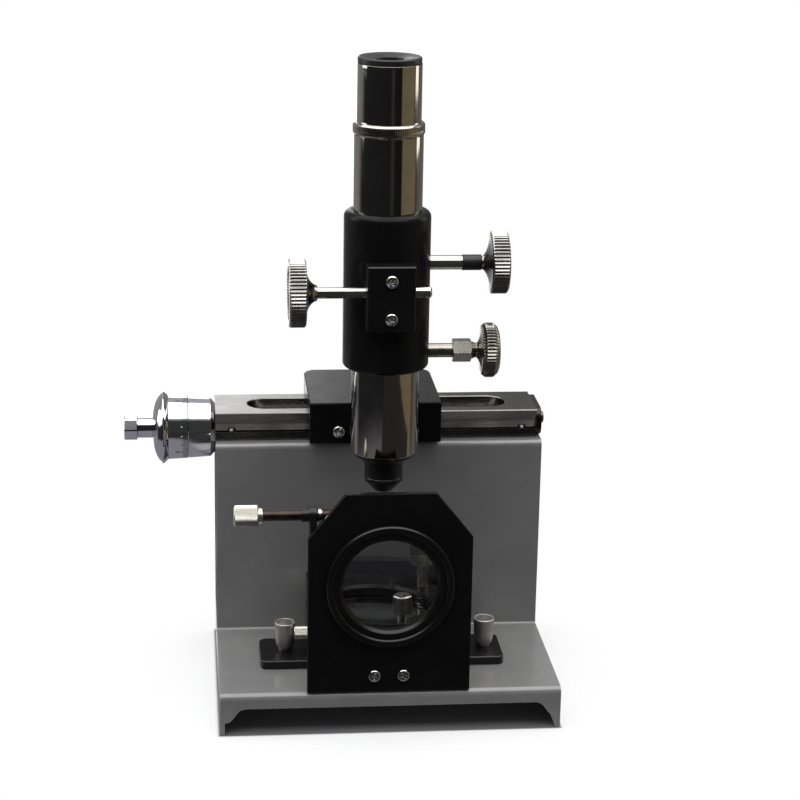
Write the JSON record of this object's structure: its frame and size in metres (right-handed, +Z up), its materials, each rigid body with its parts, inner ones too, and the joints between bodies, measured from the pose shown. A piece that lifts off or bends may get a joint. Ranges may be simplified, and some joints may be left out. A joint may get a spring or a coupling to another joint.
{
  "type": "newton's rings travelling microscope",
  "caption": "Bench travelling microscope for Newton's rings: sheet base, dovetail rail with micrometer feed, focusing tube, and a lamp-side box with a tilting glass over a lens cell.",
  "frame": {"origin": "on the bench, under the middle of the sheet base's footprint", "axes": "+X along the rail from the micrometer towards the free end, +Y from the front plate towards the rail, +Z up along the tube"},
  "size_m": [0.1937, 0.1286, 0.2908],
  "materials": {
    "grey_paint": "satin mid-grey stove enamel",
    "black_enamel": "semi-gloss black enamel",
    "blackened_steel": "blackened, lightly oiled steel",
    "dark_chrome": "bright dark-toned chrome plate",
    "satin_chrome": "fine satin chrome with engraved divisions",
    "polished_steel": "turned and polished steel",
    "knurled_steel": "straight-knurled bright steel",
    "screw_steel": "bright zinc-plated screws",
    "nickel": "bright nickel plate, fine straight knurl",
    "grey_aluminium": "matt natural aluminium",
    "browned_steel": "browned steel",
    "brass": "machined brass",
    "black_plastic": "satin black moulding",
    "optical_glass": "polished clear optical glass"
  },
  "bodies": {
    "stand": {"base_frame": "grey_paint", "dovetail_rail": "blackened_steel", "end_bearing": "black_enamel", "rail_screws": "screw_steel", "index_collar": "satin_chrome", "foot_bar": "black_enamel", "foot_studs": "screw_steel", "box_floor": "black_enamel", "box_shell": "black_enamel", "front_plate": "black_enamel", "box_screws": "screw_steel", "lens_ring": "black_enamel", "retaining_ring": "black_enamel", "condenser_lens": "optical_glass", "tilt_bushing": "black_enamel", "cell_base": "black_enamel", "flat_glass": "optical_glass", "curved_lens": "optical_glass", "cell_ring": "black_enamel"},
    "micrometer": {"lead_screw": "polished_steel", "micrometer_drum": "satin_chrome", "drum_flange": "satin_chrome", "spinner": "satin_chrome", "drum_set_screw": "screw_steel"},
    "carriage": {"carriage": "black_enamel", "gib_strip": "brass", "gib_screws": "screw_steel", "feed_nut": "brass", "limb": "black_enamel", "limb_screws": "screw_steel", "sleeve": "black_enamel", "pinion_block": "black_enamel", "block_screws": "screw_steel"},
    "tube": {"body_tube": "dark_chrome", "rack": "brass", "objective_mount": "black_enamel", "objective_barrel": "black_enamel", "objective_lens": "optical_glass"},
    "eyepiece": {"eyepiece_barrel": "dark_chrome", "eyepiece_cap": "black_plastic", "eye_lens": "optical_glass", "field_lens": "optical_glass", "crosswire_ring": "brass"},
    "pinion": {"pinion_shaft": "polished_steel", "pinion_knob": "knurled_steel"},
    "upper_clamp": {"upper_clamp_screw": "polished_steel", "clamp_spacer": "black_plastic", "upper_clamp_knob": "knurled_steel"},
    "lower_clamp": {"lower_clamp_screw": "polished_steel", "lower_clamp_knob": "knurled_steel"},
    "glass_plate": {"tilt_rod": "browned_steel", "tilt_knob": "nickel", "glass_holder": "black_enamel", "inclined_glass": "optical_glass"},
    "left_nut": {"left_thumb_nut": "grey_aluminium"},
    "right_nut": {"right_thumb_nut": "grey_aluminium"},
    "front_cell_adjuster": {"front_cell_screw": "nickel"},
    "rear_cell_adjuster": {"rear_cell_screw": "nickel"},
    "left_cell_adjuster": {"left_cell_screw": "nickel"},
    "cell_clamp": {"cell_clamp_screw": "nickel"}
  },
  "joints": [
    {"name": "micrometer_turn", "type": "hinge", "parent": "stand", "child": "micrometer", "pos_m": [-0.095, 0.0305, 0.1132], "axis": [1, 0, 0], "range_deg": [-9000, 9000]},
    {"name": "carriage_travel", "type": "slide", "parent": "stand", "child": "carriage", "axis": [1, 0, 0], "range_m": [-0.025, 0.025]},
    {"name": "focus_travel", "type": "slide", "parent": "carriage", "child": "tube", "axis": [0, 0, 1], "range_m": [-0.008, 0.008]},
    {"name": "pinion_turn", "type": "hinge", "parent": "carriage", "child": "pinion", "pos_m": [-0.0015, -0.0391, 0.1935], "axis": [1, 0, 0], "range_deg": [-131.5, 131.5]},
    {"name": "eyepiece_draw", "type": "slide", "parent": "tube", "child": "eyepiece", "axis": [0, 0, 1], "range_m": [0, 0.01]},
    {"name": "upper_clamp_turn", "type": "hinge", "parent": "carriage", "child": "upper_clamp", "pos_m": [0.02, -0.02, 0.202], "axis": [1, 0, 0], "range_deg": [0, 360]},
    {"name": "lower_clamp_turn", "type": "hinge", "parent": "carriage", "child": "lower_clamp", "pos_m": [0.02, -0.02, 0.1627], "axis": [1, 0, 0], "range_deg": [0, 360]},
    {"name": "glass_tilt", "type": "hinge", "parent": "stand", "child": "glass_plate", "pos_m": [-0.036, -0.05, 0.098], "axis": [1, 0, 0], "range_deg": [-15, 15]},
    {"name": "left_nut_turn", "type": "hinge", "parent": "stand", "child": "left_nut", "pos_m": [-0.0449, -0.019, 0.029], "axis": [0, 0, 1], "range_deg": [0, 360]},
    {"name": "right_nut_turn", "type": "hinge", "parent": "stand", "child": "right_nut", "pos_m": [0.0455, -0.019, 0.029], "axis": [0, 0, 1], "range_deg": [0, 360]},
    {"name": "front_cell_screw_turn", "type": "hinge", "parent": "stand", "child": "front_cell_adjuster", "pos_m": [0.00493, -0.04104, 0.045], "axis": [0, 0, 1], "range_deg": [-180, 180]},
    {"name": "rear_cell_screw_turn", "type": "hinge", "parent": "stand", "child": "rear_cell_adjuster", "pos_m": [0.0135, -0.00391, 0.045], "axis": [0, 0, 1], "range_deg": [-180, 180]},
    {"name": "left_cell_screw_turn", "type": "hinge", "parent": "stand", "child": "left_cell_adjuster", "pos_m": [-0.02294, -0.01505, 0.045], "axis": [0, 0, 1], "range_deg": [-180, 180]},
    {"name": "cell_clamp_turn", "type": "hinge", "parent": "stand", "child": "cell_clamp", "pos_m": [-0.036, -0.024, 0.0326], "axis": [-1, 0, 0], "range_deg": [0, 360]}
  ],
  "couplings": [
    {"joint": "carriage_travel", "follows": "micrometer_turn", "m_per_rad": -0.00015915},
    {"joint": "pinion_turn", "follows": "focus_travel", "rad_per_m": 285.71}
  ]
}
